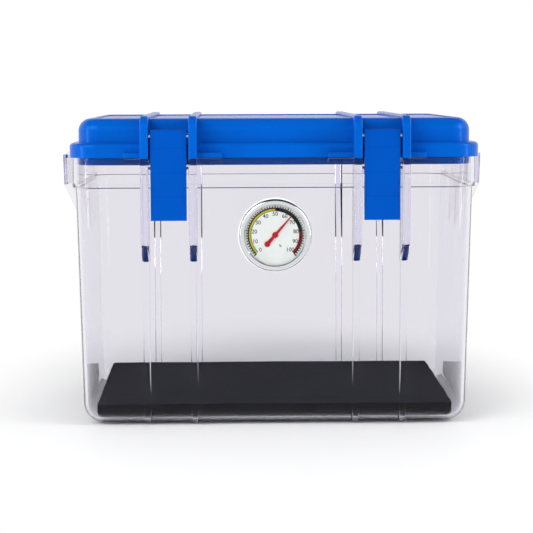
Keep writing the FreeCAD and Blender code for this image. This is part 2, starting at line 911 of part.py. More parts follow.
def make_latch(side, name):
    """A lever that hangs from a pin in the lid, with a claw that snaps over the tub's catch bar.

    Its face has three low steps, each facet a little prouder than the one above.
    """
    body = new_body(f"latch_{name}")
    face = S.latch_setback - fin_reach
    back = face + S.latch_plate
    knuckle = S.latch_pivot_drop
    low = latch_top - S.latch_length
    upper_bend = latch_top - S.latch_first_facet
    middle_bend = upper_bend - S.latch_facet
    lower_bend = middle_bend - S.latch_facet
    lean = S.latch_lean
    step = S.latch_step
    top_face = face + lean / 2 + 2 * step
    drop = pivot_z - catch_z
    side_step = catch_y - pivot_y
    radius = math.hypot(drop.number, side_step.number)
    reach = Size(radius, f"hypot({drop.text}; {side_step.text})")
    slot = S.catch_bar_radius + S.catch_clearance
    claw_tip = back + S.claw_depth

    def on_circle(turn_radius, y):
        """The height at which a circle about the pin crosses a depth, below the pin."""
        across = y - pivot_y
        height = math.sqrt(turn_radius.number ** 2 - across.number ** 2)
        return pivot_z - Size(height, f"sqrt({turn_radius.text}^2 - {across.text}^2)")

    rings = [reach - slot - S.claw_thickness, reach - slot, reach + slot, reach + slot + S.claw_thickness]
    heights_back = [on_circle(ring, back) for ring in rings]
    heights_tip = [on_circle(ring, claw_tip) for ring in rings]
    side_plate(body, f"latch_{name}_profile", [
        (top_face + S.latch_chamfer, latch_top),
        (top_face, latch_top - S.latch_chamfer),
        (face + 2 * step, upper_bend),
        (face + step, upper_bend - step),
        (face + step, middle_bend),
        (face, middle_bend - step),
        (face + lean, lower_bend),
        (face + lean - step, lower_bend - step),
        (face, low),
        (face + lean, low),
        (back + lean, lower_bend),
        (back, heights_back[3]),
        (claw_tip, heights_tip[3], rings[3]),
        (claw_tip, heights_tip[2]),
        (back, heights_back[2], -rings[2]),
        (back, heights_back[1]),
        (claw_tip, heights_tip[1], rings[1]),
        (claw_tip, heights_tip[0]),
        (back, heights_back[0], -rings[0]),
        (back, pivot_z - knuckle),
        (pivot_y, pivot_z - knuckle),
        (pivot_y + knuckle, pivot_z, knuckle),
        (pivot_y, pivot_z + knuckle, knuckle),
    ], side * S.pair_centre, S.latch_width)
    return body


def make_latches():
    """Both latches with a bore for the pin."""
    bores = between_fins("latch_bore", S.latch_pin_radius + S.running_clearance, ZERO, pivot_y, pivot_z)
    latches = []
    for side, name, bore in zip(SIDES, ("left", "right"), bores):
        latches.append(cut(f"latch_{name}", make_latch(side, f"{name}_solid"), bore))
    return latches


# Hygrometer, drawn about its own Z axis, which points out of the front wall

shelf_low = S.gasket_thickness
shelf_top = shelf_low + S.gauge_shelf
dial_top = shelf_top + S.dial_thickness
lens_low = dial_top + S.lens_height
lens_top = lens_low + S.lens_thickness
needle_low = dial_top + S.needle_lift
bridge_top = -S.tub_wall
bridge_low = bridge_top - S.bridge_thickness
coil_top = bridge_low - S.coil_gap
coil_low = coil_top - S.coil_width
barrel_end = -S.gauge_barrel_length
back_top = barrel_end + S.gauge_wall
barrel_inner = S.gauge_barrel - S.gauge_wall
arbor_hole = S.arbor_radius + S.running_clearance


def on_front_wall(piece, turn=ZERO):
    """Seat a piece on the drafted front wall, turned clockwise about its own axis as seen from outside."""
    lean = Rotation(Vector(1, 0, 0), 90 + S.tub_draft.number)
    spin = Rotation(Vector(0, 0, 1), -turn.number)
    piece.Placement = Placement(Vector(), lean * spin)
    place(piece, y=-wall_reach(wall_half_y, gauge_z), z=gauge_z)
    return piece


def make_gauge_case():
    """A barrel that goes through the wall, with a flange in front that carries the dial and lens."""
    body = new_body("hygrometer_case")
    rim_inner = S.dial_radius + S.running_clearance
    turned(body, "case_turning", [
        (barrel_inner, barrel_end),
        (S.gauge_barrel, barrel_end),
        (S.gauge_barrel, shelf_low),
        (S.gauge_flange, shelf_low),
        (S.gauge_flange, lens_low),
        (rim_inner, lens_low),
        (rim_inner, shelf_top),
        (barrel_inner, shelf_top),
    ])
    return on_front_wall(body)


def make_gauge_bezel():
    """A bright ring with a rounded shoulder that holds the lens on the case."""
    body = new_body("hygrometer_bezel")
    fit = S.gauge_flange + S.running_clearance
    front = lens_top + S.bezel_lip
    shoulder = S.bezel_back_radius - S.bezel_front_radius
    turned(body, "bezel_turning", [
        (fit, shelf_low),
        (S.bezel_back_radius, shelf_low),
        (S.bezel_back_radius, front - shoulder),
        (S.bezel_front_radius, front, shoulder),
        (S.bezel_window + S.bezel_lip / 2, front),
        (S.bezel_window, lens_top + S.bezel_lip / 2),
        (S.bezel_window, lens_top),
        (fit, lens_top),
    ])
    return on_front_wall(body)


def make_gauge_disc(label, radius, low, thickness, hole=None):
    """A flat disc of the hygrometer, with a hole for the arbor where it is given."""
    body = new_body(label)
    sketch = new_sketch(body, f"{label}_outline", "XY_Plane", low)
    add_circle(sketch, ZERO, ZERO, radius)
    if hole is not None:
        add_circle(sketch, ZERO, ZERO, hole)
    pad(body, f"{label}_thickness", sketch, thickness)
    return on_front_wall(body)


def make_gauge_nut():
    """The ring nut that holds the barrel from inside, with finger notches all round."""
    low = -S.tub_wall - S.nut_thickness
    nut = make_gauge_disc("hygrometer_nut", S.nut_radius, low, S.nut_thickness, S.gauge_barrel)
    sketch = new_sketch(nut, "notch_outline", "XY_Plane", low)
    add_circle(sketch, ZERO, S.nut_radius, S.nut_notch)
    notch = pocket(nut, "notch", sketch, S.nut_thickness, upward=True)
    pattern = nut.newObject("PartDesign::PolarPattern", "notches")
    pattern.Originals = [notch]
    pattern.Axis = (sketch, ["N_Axis"])
    pattern.Angle = 360
    pattern.Occurrences = NUT_NOTCHES
    nut.Tip = pattern
    return nut


def make_gauge_back():
    """The barrel's back plate, with a ring of vents that let the air in to the coil."""
    body = new_body("hygrometer_back")
    sketch = new_sketch(body, "back_outline", "XY_Plane", barrel_end)
    add_circle(sketch, ZERO, ZERO, barrel_inner)
    add_circle(sketch, ZERO, ZERO, arbor_hole)
    for number in range(VENTS):
        angle = 2 * math.pi * number / VENTS
        add_circle(sketch, S.vent_circle * math.cos(angle), S.vent_circle * math.sin(angle), S.vent_radius)
    pad(body, "back_plate", sketch, S.gauge_wall)
    return on_front_wall(body)


def coil_path_radius(half_turns):
    """Radius of the coil's strip after a number of half turns."""
    start = S.arbor_radius + S.gauge_wall + S.coil_strip
    return start + half_turns * S.coil_pitch / 2


def make_bridge():
    """A bar across the barrel that steadies the arbor and holds the coil's outer end on a post."""
    body = new_body("movement_bridge")
    sketch = new_sketch(body, "bridge_outline", "XY_Plane", bridge_low)
    half = S.bridge_width / 2
    angle = math.asin(half.number / barrel_inner.number)
    reach = Size(barrel_inner.number * math.cos(angle), f"sqrt({barrel_inner.text}^2 - {half.text}^2)")
    add_outline(sketch, [
        (-reach, -half),
        (reach, -half),
        (reach, half, barrel_inner),
        (-reach, half),
        (-reach, -half, barrel_inner),
    ][1:])
    add_circle(sketch, ZERO, ZERO, arbor_hole)
    pad(body, "bridge_bar", sketch, S.bridge_thickness)
    post = new_sketch(body, "post_outline", "XY_Plane", coil_low)
    coil_end = -coil_path_radius(COIL_HALF_TURNS - 1)
    half_post = S.bridge_thickness
    add_outline(post, [
        (coil_end - half_post, -2 * half_post),
        (coil_end + half_post, -2 * half_post),
        (coil_end + half_post, ZERO),
        (coil_end - half_post, ZERO),
    ])
    pad(body, "coil_post", post, bridge_low - coil_low)
    return on_front_wall(body)


def make_coil():
    """The humidity coil: a flat strip wound in half turns about two centres, one pitch a turn."""
    coil = doc.addObject("Part::Feature", "humidity_coil")
    coil.Label = "humidity_coil"
    half_strip = S.coil_strip.number / 2
    step = S.coil_pitch.number / 2
    low = coil_low.number
    sides = {1: [], -1: []}
    for number in range(COIL_HALF_TURNS):
        upward = 1 if number % 2 == 0 else -1
        centre_x = 0 if number % 2 == 0 else step
        radius = coil_path_radius(number).number
        for wall, edges in sides.items():
            reach = radius + wall * half_strip
            start = Vector(centre_x + upward * reach, 0, low)
            middle = Vector(centre_x, upward * reach, low)
            end = Vector(centre_x - upward * reach, 0, low)
            edges.append(Part.Arc(start, middle, end).toShape())
    outer = sides[1]
    inner = sides[-1]
    caps = [Part.makeLine(inner[0].Vertexes[0].Point, outer[0].Vertexes[0].Point)]
    caps.append(Part.makeLine(inner[-1].valueAt(inner[-1].LastParameter),
                              outer[-1].valueAt(outer[-1].LastParameter)))
    outline = Part.Wire(Part.__sortEdges__(outer + inner + caps))
    coil.Shape = Part.Face(outline).extrude(Vector(0, 0, S.coil_width.number))
    return on_front_wall(coil)


def make_needle():
    """A tapered pointer with a hub on the arbor and a round tail."""
    body = new_body("needle")
    sketch = new_sketch(body, "needle_outline", "XY_Plane", needle_low)
    neck = S.needle_neck / 2
    tip = S.needle_point / 2
    bulb_neck = S.needle_tail_width / 2
    add_outline(sketch, [
        (-bulb_neck, -S.needle_tail),
        (bulb_neck, -S.needle_tail),
        (neck, ZERO),
        (tip, S.needle_tip),
        (-tip, S.needle_tip),
        (-neck, ZERO),
    ])
    pad(body, "needle_blade", sketch, S.needle_thickness)
    for name, centre, radius in (("hub", ZERO, S.needle_hub), ("bulb", -S.needle_tail, S.needle_bulb)):
        disc = new_sketch(body, f"{name}_outline", "XY_Plane", needle_low)
        add_circle(disc, ZERO, centre, radius)
        pad(body, f"needle_{name}", disc, S.needle_thickness)
    hole = new_sketch(body, "needle_hole_outline", "XY_Plane", needle_low)
    add_circle(hole, ZERO, ZERO, S.arbor_radius)
    pocket(body, "needle_hole", hole, S.needle_thickness, upward=True)
    return on_front_wall(body, S.needle_reading_angle)


def make_arbor():
    """The needle's shaft, with a collar inside the coil."""
    body = new_body("needle_arbor")
    collar = S.arbor_radius + S.gauge_wall
    head = needle_low + S.needle_thickness
    turned(body, "arbor_turning", [
        (ZERO, back_top - S.gauge_wall / 2),
        (S.arbor_radius, back_top - S.gauge_wall / 2),
        (S.arbor_radius, coil_low),
        (collar, coil_low),
        (collar, coil_top),
        (S.arbor_radius, coil_top),
        (S.arbor_radius, head),
        (ZERO, head),
    ])
    return on_front_wall(body)


def make_hygrometer():
    gasket = make_gauge_disc("hygrometer_gasket", S.gasket_radius, ZERO, S.gasket_thickness,
                             S.gauge_barrel + S.gauge_hole_clearance)
    dial = make_gauge_disc("dial", S.dial_radius, shelf_top, S.dial_thickness,
                           S.arbor_radius + S.gauge_hole_clearance)
    lens = make_gauge_disc("hygrometer_lens", S.gauge_flange, lens_low, S.lens_thickness)
    return [make_gauge_case(), make_gauge_bezel(), gasket, make_gauge_nut(), dial, lens,
            make_gauge_back(), make_bridge(), make_coil(), make_needle(), make_arbor()]


# Desiccant tray under the roof of the lid

tray_low = roof - S.tray_height
tray_half_x = S.tray_length / 2
tray_half_y = S.tray_depth / 2
tray_inner_x = tray_half_x - S.tray_wall
tray_inner_y = tray_half_y - S.tray_wall
slot_low = tray_low + S.cover_thickness / 2
slot_high = slot_low + S.cover_thickness + 2 * S.cover_gap
cover_low = slot_low + S.cover_gap
cover_half_y = tray_inner_y + S.cover_tongue


def make_tray():
    """A frame with grooves for the cover, open at one end so that the cover draws out."""
    frame = plain_box("tray_frame", -tray_half_x, -tray_half_y, tray_low,
                      S.tray_length, S.tray_depth, S.tray_height)
    tab_low = roof - S.boss_drop - S.tab_thickness
    tab_width = 2 * S.boss_radius
    solids = [frame]
    for number, (x, y) in enumerate(screw_places(), start=1):
        tab_reach = tray_half_y + S.boss_gap + tab_width
        low_y = tray_inner_y if y.number > 0 else -tab_reach
        solids.append(plain_box(f"tray_tab_{number}", x - S.boss_radius, low_y, tab_low,
                                tab_width, tab_reach - tray_inner_y, S.tab_thickness))
    room = plain_box("tray_room", -tray_inner_x, -tray_inner_y, tray_low - OVERCUT,
                     2 * tray_inner_x, 2 * tray_inner_y, S.tray_height + 2 * OVERCUT)
    groove_half = cover_half_y + S.cover_gap
    grooves = plain_box("tray_grooves", -tray_inner_x, -groove_half, slot_low,
                        tray_inner_x + tray_half_x + OVERCUT, 2 * groove_half, slot_high - slot_low)
    mouth = plain_box("tray_mouth", tray_inner_x - OVERCUT, -tray_inner_y, tray_low - OVERCUT,
                      S.tray_wall + 2 * OVERCUT, 2 * tray_inner_y, slot_high - tray_low + OVERCUT)
    holes = [upright_rod(f"tab_hole_{number}", S.screw_radius, tab_low, S.tab_thickness, x, y)
             for number, (x, y) in enumerate(screw_places(), start=1)]
    cuts = fuse("tray_cuts", [room, grooves, mouth] + holes)
    return cut("desiccant_tray", fuse("tray_solid", solids), cuts)


def make_tray_screws():
    """Four short screws, heads down."""
    head_low = roof - S.boss_drop - S.tab_thickness - S.screw_head_height
    pieces = []
    for number, (x, y) in enumerate(screw_places(), start=1):
        head = upright_rod(f"screw_head_{number}", S.screw_head_radius, head_low, S.screw_head_height, x, y)
        shank = upright_rod(f"screw_shank_{number}", S.screw_radius, head_low + S.screw_head_height,
                            S.screw_length, x, y)
        pieces += [head, shank]
    return fuse("tray_screws", pieces)


def make_cover():
    """A perforated plate that slides in the tray's grooves, with a ridge to pull it by."""
    body = new_body("desiccant_cover")
    low_x = S.cover_gap - tray_inner_x
    plate = new_sketch(body, "cover_outline", "XY_Plane", cover_low)
    add_outline(plate, [
        (low_x, -cover_half_y),
        (tray_half_x, -cover_half_y),
        (tray_half_x, cover_half_y),
        (low_x, cover_half_y),
    ])
    pad(body, "cover_plate", plate, S.cover_thickness)
    ridge = new_sketch(body, "ridge_outline", "XY_Plane", cover_low - S.cover_thickness)
    add_outline(ridge, [
        (tray_half_x - 2 * S.tray_wall, -S.ridge_length / 2),
        (tray_half_x - S.tray_wall, -S.ridge_length / 2),
        (tray_half_x - S.tray_wall, S.ridge_length / 2),
        (tray_half_x - 2 * S.tray_wall, S.ridge_length / 2),
    ])
    pad(body, "pull_ridge", ridge, S.cover_thickness)
    row = new_sketch(body, "hole_row", "XY_Plane", cover_low)
    span = 2 * (tray_inner_x - S.cover_end_border)
    first_x = -(span + S.tray_wall) / 2
    pitch = 2 * (tray_inner_y - S.cover_side_border) / (COVER_ROWS - 1)
    for number in range(COVER_ROWS):
        add_circle(row, first_x, pitch * (number - (COVER_ROWS - 1) / 2), S.cover_hole_radius)
    holes = pocket(body, "hole_row_cut", row, S.cover_thickness, upward=True)
    pattern = body.newObject("PartDesign::LinearPattern", "hole_columns")
    pattern.Originals = [holes]
    pattern.Direction = (row, ["H_Axis"])
    pattern.Occurrences = COVER_COLUMNS
    pattern.Length = span.number
    pattern.setExpression("Length", span.text)
    body.Tip = pattern
    return body


def make_desiccant_pack():
    body = new_body("desiccant_pack")
    low = cover_low + S.cover_thickness + S.pack_gap
    rounded_block(body, "pack_block", tray_inner_x - S.pack_end_gap, tray_inner_y - S.pack_side_gap,
                  S.tray_wall, low, roof - S.pack_top_gap)
    return body


def make_pins(label, radius, y, z):
    return between_fins(label, radius, S.pin_seat, y, z)


def build():
    """Every separate piece of the box."""
    pieces = [make_tub(), make_foam_pad(), make_lid_shell(), make_lid_seal()]
    pieces += make_pins("hinge_pin", S.hinge_pin_radius, hinge_y, hinge_z)
    pieces += make_pins("latch_pin", S.latch_pin_radius, pivot_y, pivot_z)
    pieces += make_latches()
    pieces += make_hygrometer()
    pieces += [make_tray(), make_tray_screws(), make_cover(), make_desiccant_pack()]
    doc.recompute()
    return pieces


def check(pieces):
    """Stop before anything is written if an object failed or a piece is not a valid solid."""
    for item in doc.Objects:
        if "Invalid" in item.State or "Error" in item.State:
            raise RuntimeError(f"{item.Label} failed: {item.State}")
    for piece in pieces:
        if piece.Shape.isNull() or not piece.Shape.isValid() or not piece.Shape.Solids:
            raise RuntimeError(f"{piece.Label} has no valid solid")


def export(pieces):
    os.makedirs("parts", exist_ok=True)
    for piece in pieces:
        piece.Shape.exportStep(os.path.join("parts", f"{piece.Label}.step"))
        solids = len(piece.Shape.Solids)
        print(f"{piece.Label}: {solids} solid(s), {piece.Shape.Volume / 1000:.2f} cm3")


parts = build()
check(parts)
export(parts)
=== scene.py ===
import json
import math

import bmesh
import bpy
from mathutils import Matrix, Vector, noise


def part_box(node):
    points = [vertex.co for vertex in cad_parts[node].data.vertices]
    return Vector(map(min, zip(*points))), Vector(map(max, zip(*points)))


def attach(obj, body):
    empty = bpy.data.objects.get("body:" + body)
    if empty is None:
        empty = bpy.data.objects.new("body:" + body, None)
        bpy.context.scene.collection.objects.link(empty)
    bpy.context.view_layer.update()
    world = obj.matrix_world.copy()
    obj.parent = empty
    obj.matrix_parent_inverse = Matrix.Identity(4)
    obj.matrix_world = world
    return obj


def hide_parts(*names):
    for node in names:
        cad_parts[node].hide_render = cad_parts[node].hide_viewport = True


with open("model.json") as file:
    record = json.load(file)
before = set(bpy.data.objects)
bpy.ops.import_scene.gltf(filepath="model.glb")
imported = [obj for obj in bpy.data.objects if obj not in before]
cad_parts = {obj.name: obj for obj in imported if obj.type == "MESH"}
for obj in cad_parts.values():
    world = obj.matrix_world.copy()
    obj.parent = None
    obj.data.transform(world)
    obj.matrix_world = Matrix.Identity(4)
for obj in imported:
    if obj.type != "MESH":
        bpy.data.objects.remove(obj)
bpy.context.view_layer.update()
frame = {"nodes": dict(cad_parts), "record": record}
nodes = frame["nodes"]

# Clear storage box with a blue lid, a dial hygrometer and a foam pad. Sizes are in millimetres times MM.
MM = 0.001
SAME_PLACE = 1e-7

# The fitted camera: where it stands, how it is turned, and its focal length in the photograph's pixels
PHOTO_PIXELS = 533
CAMERA_PLACE = Vector((-33.52, -1365.2, 253.9)) * MM
CAMERA_YAW = math.radians(1.227)
CAMERA_PITCH = math.radians(5.979)
CAMERA_ROLL = math.radians(-0.185)
FOCAL_PIXELS = 1696.5
SENSOR_WIDTH = 36.0

# The hygrometer's axis leans with the front wall
GAUGE_LEAN = math.radians(91.42)
dial_low, dial_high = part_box("dial")
GAUGE_PLACE = Matrix.Translation((dial_low + dial_high) / 2) @ Matrix.Rotation(GAUGE_LEAN, 4, "X")
DIAL_FACE = 0.2 * MM
DIAL_START = math.radians(-135)
DIAL_SWEEP = math.radians(270)

# The sRGB curve: a straight part near black, then a power
SRGB_STRAIGHT_END = 0.04045
SRGB_STRAIGHT_SLOPE = 12.92
SRGB_OFFSET = 0.055
SRGB_POWER = 2.4
BRIGHTEST = 255

# The Mix node's colour sockets have no names of their own
MIX_FACTOR = 0
MIX_FIRST = 6
MIX_SECOND = 7
MIX_RESULT = 2


# Nodes and colours

def linear(colour):
    """An sRGB hex colour as the linear colour that a shader takes."""
    channels = [level / BRIGHTEST for level in bytes.fromhex(colour.lstrip("#"))]
    return [c / SRGB_STRAIGHT_SLOPE if c <= SRGB_STRAIGHT_END
            else ((c + SRGB_OFFSET) / (1 + SRGB_OFFSET)) ** SRGB_POWER for c in channels] + [1.0]


def add(tree, kind, settings=None, inputs=None):
    """Add a node with its settings; an input is a value, or an output socket to link from."""
    node = tree.nodes.new("ShaderNode" + kind)
    for name, value in (settings or {}).items():
        setattr(node, name, value)
    for name, value in (inputs or {}).items():
        if isinstance(value, bpy.types.NodeSocket):
            tree.links.new(value, node.inputs[name])
        else:
            node.inputs[name].default_value = value
    return node


def start_material(name):
    """A new material with only its output node, and the object coordinates in metres."""
    material = bpy.data.materials.new(name)
    material.use_nodes = True
    tree = material.node_tree
    tree.nodes.clear()
    output = add(tree, "OutputMaterial")
    place = add(tree, "TexCoord").outputs["Object"]
    return material, tree, output, place


def finish_material(tree, output, inputs, depth_colour=None, density=0.0):
    """Link the surface, and for clear stuff the tint that grows with the way through it."""
    surface = add(tree, "BsdfPrincipled", None, inputs)
    tree.links.new(surface.outputs["BSDF"], output.inputs["Surface"])
    if depth_colour is not None:
        tint = add(tree, "VolumeAbsorption", None, {"Color": depth_colour, "Density": density})
        tree.links.new(tint.outputs["Volume"], output.inputs["Volume"])


def grain(tree, place, size, detail=2.0, distortion=0.0):
    """Noise whose lumps are about the given size across."""
    lumps = add(tree, "TexNoise", None, {"Vector": place, "Scale": 1 / size, "Detail": detail,
                                         "Distortion": distortion})
    return lumps.outputs["Fac"]


def between(tree, factor, low, high):
    """A value that runs from low to high as the factor runs from 0 to 1."""
    return add(tree, "MapRange", None, {"Value": factor, "To Min": low, "To Max": high}).outputs["Result"]


def blend_colours(tree, factor, first, second):
    """The first colour where the factor is 0, and the second where it is 1."""
    mix = add(tree, "Mix", {"data_type": "RGBA"},
              {MIX_FACTOR: factor, MIX_FIRST: first, MIX_SECOND: second})
    return mix.outputs[MIX_RESULT]


def bump(tree, height, depth, strength=1.0):
    """Turn a height pattern into relief of the given depth."""
    relief = add(tree, "Bump", None, {"Height": height, "Distance": depth, "Strength": strength})
    return relief.outputs["Normal"]


# Materials

PORE_SIZE = 1.1 * MM
WIRE_STRETCH = (0.05, 1.0, 1.0)


def clear_styrene():
    """Injection-moulded clear styrene: colourless with a faint lavender cast, polished, a little wavy."""
    material, tree, output, place = start_material("clear_styrene")
    flow = grain(tree, place, size=45 * MM, detail=1.0)
    finish_material(tree, output, {
        "Base Color": linear("#F3F2F4"),
        "Roughness": 0.0,
        "IOR": 1.57,
        "Specular Tint": linear("#6C6C70"),
        "Transmission Weight": 1.0,
        "Normal": bump(tree, flow, depth=0.25 * MM, strength=0.15),
    }, depth_colour=linear("#E6E4FA"), density=30.0)
    return material


def blue_polypropylene(name, colour, lighter):
    """Injection-moulded polypropylene: strong blue, satin, with a fine spark-eroded grain.

    The real grain is finer than this one, which still shows as a soft break in the highlights.
    """
    material, tree, output, place = start_material(name)
    cloud = grain(tree, place, size=60 * MM, detail=3.0)
    fine = grain(tree, place, size=0.8 * MM, detail=3.0)
    finish_material(tree, output, {
        "Base Color": blend_colours(tree, cloud, linear(colour), linear(lighter)),
        "Roughness": between(tree, fine, low=0.22, high=0.3),
        "IOR": 1.49,
        "Specular IOR Level": 0.5,
        "Specular Tint": linear("#3C8CFF"),
        "Normal": bump(tree, fine, depth=0.02 * MM, strength=0.12),
    })
    return material


def charcoal_foam(name, colour, lighter, pore):
    """Open-cell polyurethane foam: charcoal, quite matt, with painted shade in the pores, which catch no
    light.

    Real pores are about half as wide, and would not show at the photograph's size.
    """
    material, tree, output, place = start_material(name)
    pores = add(tree, "TexVoronoi", None, {"Vector": place, "Scale": 1 / PORE_SIZE}).outputs["Distance"]
    cloud = grain(tree, place, size=22 * MM, detail=3.0)
    tone = blend_colours(tree, cloud, linear(colour), linear(lighter))
    # Painted shade: the pores are darkened towards the pore colour
    darkened = blend_colours(tree, between(tree, pores, low=0.0, high=0.55), tone, linear(pore))
    finish_material(tree, output, {
        "Base Color": darkened,
        "Roughness": 0.95,
        "Specular IOR Level": 0.0,
        "Normal": bump(tree, pores, depth=0.5 * MM, strength=0.6),
    })
    return material


def sponge_seal():
    """Extruded EPDM sponge cord: near-black navy, matt skin with tiny pits."""
    material, tree, output, place = start_material("sponge_seal")
    pits = grain(tree, place, size=0.5 * MM, detail=4.0)
    finish_material(tree, output, {
        "Base Color": blend_colours(tree, pits, linear("#0D1330"), linear("#1A2147")),
        "Roughness": 0.75,
        "Normal": bump(tree, pits, depth=0.1 * MM, strength=0.5),
    })
    return material


def drawn_steel():
    """Bright drawn steel wire: fine lines along the wire."""
    material, tree, output, place = start_material("drawn_steel")
    stretched = add(tree, "Mapping", None, {"Vector": place, "Scale": WIRE_STRETCH}).outputs["Vector"]
    lines = grain(tree, stretched, size=0.15 * MM)
    finish_material(tree, output, {
        "Base Color": blend_colours(tree, lines, linear("#B9BABD"), linear("#D6D7D9")),
        "Metallic": 1.0,
        "Roughness": between(tree, lines, low=0.18, high=0.34),
        "Normal": bump(tree, lines, depth=0.02 * MM, strength=0.3),
    })
    return material


def black_abs():
    """Injection-moulded ABS: black, finely grained."""
    material, tree, output, place = start_material("black_abs")
    fine = grain(tree, place, size=0.5 * MM, detail=3.0)
    finish_material(tree, output, {
        "Base Color": blend_colours(tree, fine, linear("#151517"), linear("#222225")),
        "Roughness": between(tree, fine, low=0.38, high=0.5),
        "IOR": 1.53,
        "Normal": bump(tree, fine, depth=0.04 * MM, strength=0.4),
    })
    return material


def bright_chrome():
    """Chromium plate on a spun brass ring: mirror-bright, here and there a little dulled."""
    material, tree, output, place = start_material("bright_chrome")
    wear = grain(tree, place, size=4 * MM)
    finish_material(tree, output, {
        "Base Color": linear("#D9DBDE"),
        "Metallic": 1.0,
        "Roughness": between(tree, wear, low=0.03, high=0.09),
    })
    return material


def white_silicone():
    """Pressed silicone washer: milk white with a soft gloss."""
    material, tree, output, place = start_material("white_silicone")
    cloud = grain(tree, place, size=3 * MM)
    finish_material(tree, output, {
        "Base Color": blend_colours(tree, cloud, linear("#F8F8F8"), linear("#FFFFFF")),
        "Roughness": 0.35,
        "IOR": 1.41,
    })
    return material


def dial_enamel():
    """Stove-enamelled dial plate: pale green-grey white, satin."""
    material, tree, output, place = start_material("dial_enamel")
    cloud = grain(tree, place, size=6 * MM, detail=3.0)
    finish_material(tree, output, {
        "Base Color": blend_colours(tree, cloud, linear("#E2E9E7"), linear("#ECF1F0")),
        "Roughness": between(tree, cloud, low=0.4, high=0.5),
        "IOR": 1.5,
    })
    return material


def printing_ink(name, colour, darker):
    """Screen-printed ink: flat colour that is a little uneven, as the mesh leaves it."""
    material, tree, output, place = start_material(name)
    mesh_marks = grain(tree, place, size=0.4 * MM)
    finish_material(tree, output, {
        "Base Color": blend_colours(tree, mesh_marks, linear(darker), linear(colour)),
        "Roughness": 0.45,
        "Specular IOR Level": 0.1,
    })
    return material


def gauge_glass():
    """Flat glass over the dial: clear, with so little sheen that the dial reads through it."""
    material, tree, output, place = start_material("gauge_glass")
    dust = grain(tree, place, size=2 * MM)
    finish_material(tree, output, {
        "Base Color": linear("#FFFFFF"),
        "Roughness": between(tree, dust, low=0.0, high=0.01),
        "IOR": 1.2,
        "Transmission Weight": 1.0,
    })
    return material


def rolled_brass():
    """Rolled brass strip: warm yellow, fine lines, slightly dulled."""
    material, tree, output, place = start_material("rolled_brass")
    dull = grain(tree, place, size=1.5 * MM, detail=4.0)
    finish_material(tree, output, {
        "Base Color": blend_colours(tree, dull, linear("#A98542"), linear("#D0AC62")),
        "Metallic": 1.0,
        "Roughness": between(tree, dull, low=0.22, high=0.38),
    })
    return material


def red_enamel():
    """Sprayed enamel on the needle: bright red, glossy."""
    material, tree, output, place = start_material("red_enamel")
    cloud = grain(tree, place, size=2 * MM)
    finish_material(tree, output, {
        "Base Color": blend_colours(tree, cloud, linear("#A8000C"), linear("#C40410")),
        "Roughness": 0.3,
        "Specular IOR Level": 0.15,
    })
    return material


def sachet_paper():
    """Spun-bonded sachet paper: white fibres pressed at random, matt."""
    material, tree, output, place = start_material("sachet_paper")
    fibres = grain(tree, place, size=3 * MM, detail=6.0, distortion=3.0)
    finish_material(tree, output, {
        "Base Color": blend_colours(tree, fibres, linear("#DAD8D2"), linear("#F2F0EB")),
        "Roughness": 0.8,
        "Normal": bump(tree, fibres, depth=0.15 * MM, strength=0.5),
    })
    return material


MATERIALS = {
    "clear_plastic": clear_styrene(),
    "blue_plastic": blue_polypropylene("lid_polypropylene", "#0050B1", "#0059BB"),
    "charcoal_foam": charcoal_foam("foam_skin", "#38383D", "#4A4A50", "#242428"),
    "seal_rubber": sponge_seal(),
    "steel": drawn_steel(),
    "black_plastic": black_abs(),
    "bright_chrome": bright_chrome(),
    "white_rubber": white_silicone(),
    "dial_card": dial_enamel(),
    "clear_lens": gauge_glass(),
    "brass": rolled_brass(),
    "red_enamel": red_enamel(),
    "sachet_paper": sachet_paper(),
}
# Painted shade: the latches get a deeper copy of the lid's blue, for the light their faces miss
LATCH_SHADED_BLUE = blue_polypropylene("latch_polypropylene_painted_shade", "#0044A3", "#004CAC")
# Painted shade: a darker copy of the foam for the pad's steep sides
FOAM_SIDE_SHADE = charcoal_foam("foam_side_painted_shade", "#151518", "#1C1C20", "#101013")
INKS = {
    "yellow": printing_ink("yellow_ink", "#C8BE30", "#B5AA22"),
    "green": printing_ink("green_ink", "#04140F", "#030F0B"),
    "red": printing_ink("red_ink", "#7A000C", "#660009"),
    "black": printing_ink("black_ink", "#1A1C1C", "#101212"),
}


# Dress the pieces that keep their own shape

def dress_nodes():
    """Give each node its slot's material; the latches get a slightly deeper blue, which is painted shade."""
    for row in frame["record"]["subparts"]:
        name = row["node"]
        piece = nodes[name]
        shaded_latch = name.startswith("latch_") and "pin" not in name
        piece.data.materials.clear()
        piece.data.materials.append(LATCH_SHADED_BLUE if shaded_latch else MATERIALS[row["material_slot"]])


dress_nodes()


# Making pieces

def finish_piece(name, shape, body, material, smooth=True):
    """Turn a bmesh into an object that rides on a body."""
    mesh = bpy.data.meshes.new(name)
    shape.to_mesh(mesh)
    shape.free()
    if smooth:
        mesh.shade_smooth()
    piece = bpy.data.objects.new(name, mesh)
    bpy.context.scene.collection.objects.link(piece)
    mesh.materials.append(material)
    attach(piece, body)
    return piece


# Foam pad

SHEET_CORNER = 2.5 * MM
SHEET_CORNER_STEPS = 6
SHEET_UNDER_ROUND = 5.2 * MM
SHEET_UNDER_STEPS = 5
SHEET_TOP_ROUND = 0.8 * MM
SHEET_TOP_STEPS = 3
SHEET_CUTS = (68, 45)
SHEET_LUMP = 55 * MM
SHEET_LUMP_HEIGHT = 0.6 * MM
SHEET_EDGE_LUMP = 14 * MM
SHEET_EDGE_WAVE = 0.9 * MM
SHEET_FRONT_DROP = 3.0 * MM
SHEET_SIDE_SLOPE = 0.6


def round_edges(shape, edges, radius, steps):
    bmesh.ops.bevel(shape, geom=edges, offset=radius, segments=steps, affect="EDGES", profile=0.5,
                    material=-1)


